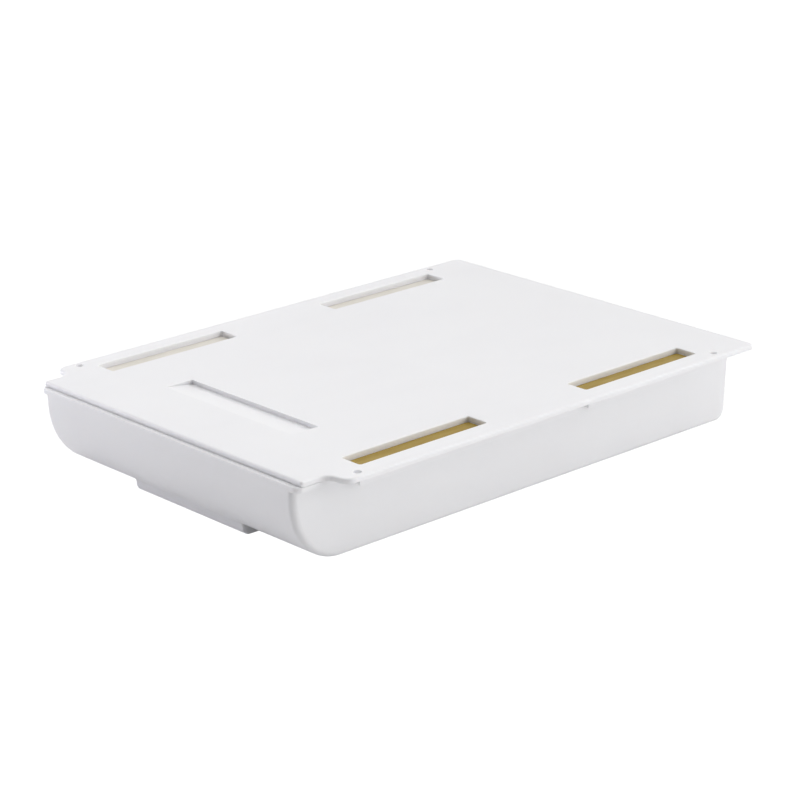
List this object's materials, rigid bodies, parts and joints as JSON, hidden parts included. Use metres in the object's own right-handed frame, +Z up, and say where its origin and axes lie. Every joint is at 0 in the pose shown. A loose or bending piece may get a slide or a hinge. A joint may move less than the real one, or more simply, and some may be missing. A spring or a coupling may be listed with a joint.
{
  "type": "under desk drawer",
  "caption": "Shallow white drawer tray with a bullnose front and finger grip, hung on hook rails under a flat plate that sticks or screws beneath a desk.",
  "frame": {"origin": "middle of the mounting plate's top face, the face against the underside of the desk", "axes": "+Z up into the desk, -Y the way the tray pulls out, +X to the right seen from above with the front towards -Y"},
  "size_m": [0.235, 0.3177, 0.0488],
  "materials": {
    "white_plastic": "satin moulded plastic",
    "foam": "soft closed-cell foam tape",
    "liner_gold": "waxed kraft release paper",
    "liner_cream": "pale waxed release paper"
  },
  "bodies": {
    "mounting_plate": {"mounting_plate": "white_plastic", "adhesive_pad_front_right": "foam", "adhesive_pad_front_left": "foam", "adhesive_pad_rear_right": "foam", "adhesive_pad_rear_left": "foam", "release_liner_front_right": "liner_gold", "release_liner_front_left": "liner_cream", "release_liner_rear_right": "liner_gold", "release_liner_rear_left": "liner_cream"},
    "drawer_tray": {"drawer_tray": "white_plastic"}
  },
  "joints": [
    {"name": "drawer_slide", "type": "slide", "parent": "mounting_plate", "child": "drawer_tray", "axis": [0, -1, 0], "range_m": [0, 0.25]}
  ]
}
